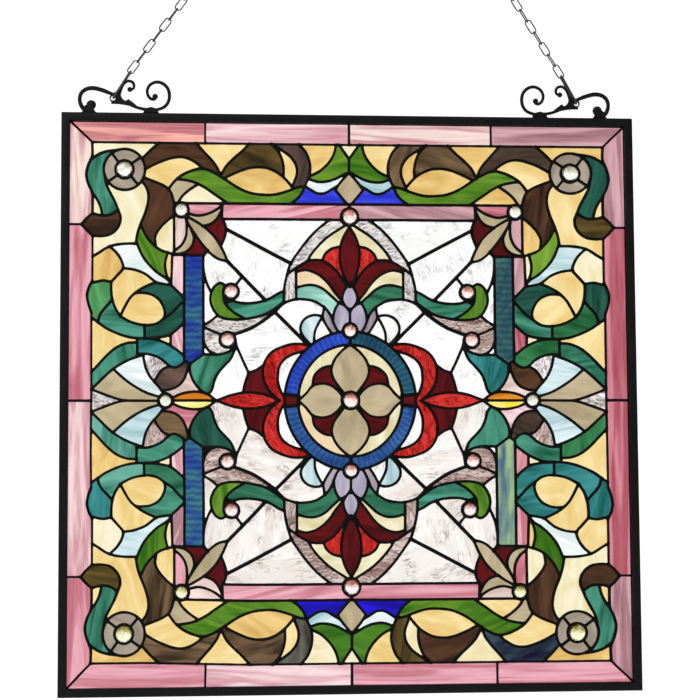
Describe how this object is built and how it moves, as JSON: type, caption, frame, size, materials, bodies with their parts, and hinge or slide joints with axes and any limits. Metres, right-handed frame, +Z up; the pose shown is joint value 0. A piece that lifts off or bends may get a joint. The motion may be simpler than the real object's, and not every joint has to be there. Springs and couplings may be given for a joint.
{
  "type": "stained glass window panel",
  "caption": "Square leaded stained glass window panel in a black metal channel frame, with scroll brackets and two chains to hang it.",
  "frame": {"origin": "midway between the tops of the insides of the two hanging rings, where the chains are held", "axes": "+X to the right as seen from the front, -Y out of the front face, +Z up"},
  "size_m": [0.635, 0.022, 0.7873],
  "materials": {
    "frame": "satin black paint",
    "lead": "black patina on solder",
    "chain": "blackened steel wire",
    "pink": "streaky art glass",
    "cream": "wispy art glass",
    "scroll": "mixed art glass",
    "blue": "rippled art glass",
    "white": "clear rippled glass",
    "taupe": "opalescent art glass"
  },
  "bodies": {
    "root": {"border_glass_top_1": "pink", "border_glass_top_2": "pink", "border_glass_top_3": "pink", "border_glass_top_4": "pink", "border_glass_right_1": "pink", "border_glass_right_2": "pink", "border_glass_right_3": "pink", "border_glass_right_4": "pink", "border_glass_bottom_1": "pink", "border_glass_bottom_2": "pink", "border_glass_bottom_3": "pink", "border_glass_bottom_4": "pink", "border_glass_left_1": "pink", "border_glass_left_2": "pink", "border_glass_left_3": "pink", "border_glass_left_4": "pink", "corner_glass_top_left": "cream", "blue_column_top_left": "blue", "corner_glass_top_right": "cream", "blue_column_top_right": "blue", "corner_glass_bottom_left": "cream", "blue_column_bottom_left": "blue", "corner_glass_bottom_right": "cream", "blue_column_bottom_right": "blue", "scroll_glass_top": "scroll", "scroll_glass_bottom": "scroll", "scroll_glass_left": "scroll", "scroll_glass_right": "scroll", "inner_border_top": "pink", "field_glass_top": "white", "ring_glass_top": "blue", "inner_border_bottom": "pink", "field_glass_bottom": "white", "ring_glass_bottom": "blue", "rosette_glass": "taupe", "lead_work": "lead", "rail_top": "frame", "rail_right": "frame", "rail_bottom": "frame", "rail_left": "frame", "bracket_left": "frame", "long_link_left": "chain", "chain_link_left_1": "chain", "chain_link_left_2": "chain", "chain_link_left_3": "chain", "chain_link_left_4": "chain", "chain_link_left_5": "chain", "chain_link_left_6": "chain", "chain_link_left_7": "chain", "hanging_ring_left": "chain", "bracket_right": "frame", "long_link_right": "chain", "chain_link_right_1": "chain", "chain_link_right_2": "chain", "chain_link_right_3": "chain", "chain_link_right_4": "chain", "chain_link_right_5": "chain", "chain_link_right_6": "chain", "chain_link_right_7": "chain", "hanging_ring_right": "chain"}
  },
  "joints": []
}
